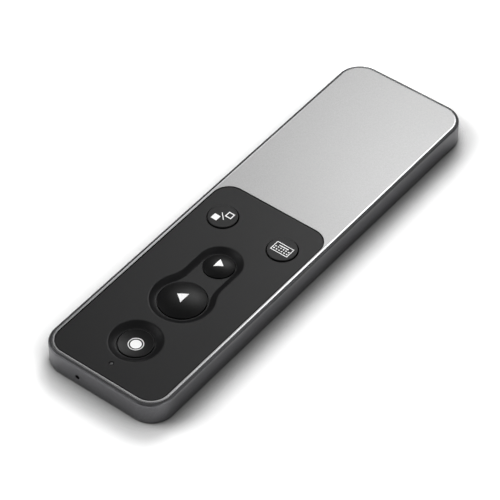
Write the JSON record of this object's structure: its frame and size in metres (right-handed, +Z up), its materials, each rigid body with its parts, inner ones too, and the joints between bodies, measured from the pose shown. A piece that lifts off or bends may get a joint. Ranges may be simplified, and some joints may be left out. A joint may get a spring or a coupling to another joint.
{
  "type": "wireless presentation clicker",
  "caption": "Slim hand-held presentation clicker: aluminium frame and silver plate round a black button panel with domed, dished and flat push buttons, pointer beam and coin cell.",
  "frame": {"origin": "centre of the bounding box on the surface the clicker lies on", "axes": "+Z up through the button side, +Y towards the button end where the beam leaves, +X to the right of the hand that holds it"},
  "size_m": [0.037, 0.1294, 0.0073],
  "materials": {
    "grey_anodised": "bead-blasted, dark grey anodised aluminium",
    "silver_anodised": "fine bead-blasted, silver anodised aluminium",
    "panel_black": "moulded PC/ABS, fine matt texture",
    "button_black": "moulded PC/ABS, satin",
    "icon_white": "white second-shot plastic",
    "clear_plastic": "clear moulded polycarbonate",
    "adhesive_tape": "black die-cut double-sided foam tape",
    "grey_silicone": "moulded silicone rubber",
    "board_laminate": "FR4 laminate with green solder mask",
    "chip_black": "moulded epoxy",
    "tinned_steel": "tinned sheet steel",
    "switch_steel": "stamped stainless steel",
    "turned_brass": "turned brass",
    "lens_glass": "clear polished lens plastic",
    "cell_steel": "nickel-plated steel can",
    "spring_contact": "nickel-plated spring steel",
    "cover_plastic": "moulded PC/ABS, fine matt texture",
    "slider_plastic": "moulded acetal",
    "screw_steel": "black-nickel plated steel"
  },
  "bodies": {
    "body": {"body_frame": "grey_anodised", "top_plate": "silver_anodised", "button_panel": "panel_black", "plate_tape": "adhesive_tape", "panel_tape": "adhesive_tape", "light_pipe": "clear_plastic", "keypad_mat": "grey_silicone", "circuit_board": "board_laminate", "status_led": "clear_plastic", "radio_shield": "tinned_steel", "radio_chip": "chip_black", "control_chip": "chip_black", "clock_crystal": "tinned_steel", "laser_barrel": "turned_brass", "laser_lens": "lens_glass", "laser_diode": "tinned_steel", "beam_window": "lens_glass", "coin_cell": "cell_steel", "cell_top_contact": "spring_contact", "cell_side_contact": "spring_contact", "bottom_cover": "cover_plastic", "power_switch": "chip_black", "cover_screws": "screw_steel", "board_screws": "screw_steel", "laser_switch": "switch_steel", "next_switch": "switch_steel", "back_switch": "switch_steel", "keyboard_switch": "switch_steel", "blank_switch": "switch_steel"},
    "laser_key": {"laser_button": "button_black", "laser_icon": "icon_white"},
    "next_key": {"next_button": "button_black", "next_icon": "icon_white"},
    "back_key": {"back_button": "button_black", "back_icon": "icon_white"},
    "keyboard_key": {"keyboard_button": "button_black", "keyboard_icon": "icon_white"},
    "blank_key": {"blank_button": "button_black", "blank_icon": "icon_white"},
    "door": {"battery_door": "cover_plastic", "door_gasket": "grey_silicone"},
    "slider": {"power_slider": "slider_plastic"}
  },
  "joints": [
    {"name": "laser_press", "type": "slide", "parent": "body", "child": "laser_key", "axis": [0, 0, -1], "range_m": [0, 0.0003], "stiffness_N_per_m": 3000, "springref_m": -0.0003},
    {"name": "next_press", "type": "slide", "parent": "body", "child": "next_key", "axis": [0, 0, -1], "range_m": [0, 0.0003], "stiffness_N_per_m": 3000, "springref_m": -0.0003},
    {"name": "back_press", "type": "slide", "parent": "body", "child": "back_key", "axis": [0, 0, -1], "range_m": [0, 0.0003], "stiffness_N_per_m": 3000, "springref_m": -0.0003},
    {"name": "keyboard_press", "type": "slide", "parent": "body", "child": "keyboard_key", "axis": [0, 0, -1], "range_m": [0, 0.0003], "stiffness_N_per_m": 3000, "springref_m": -0.0003},
    {"name": "blank_press", "type": "slide", "parent": "body", "child": "blank_key", "axis": [0, 0, -1], "range_m": [0, 0.0003], "stiffness_N_per_m": 3000, "springref_m": -0.0003},
    {"name": "battery_door_turn", "type": "hinge", "parent": "body", "child": "door", "pos_m": [0, -0.028, 0], "axis": [0, 0, 1], "range_deg": [0, 40]},
    {"name": "power_slide", "type": "slide", "parent": "body", "child": "slider", "axis": [1, 0, 0], "range_m": [0, 0.002]}
  ]
}
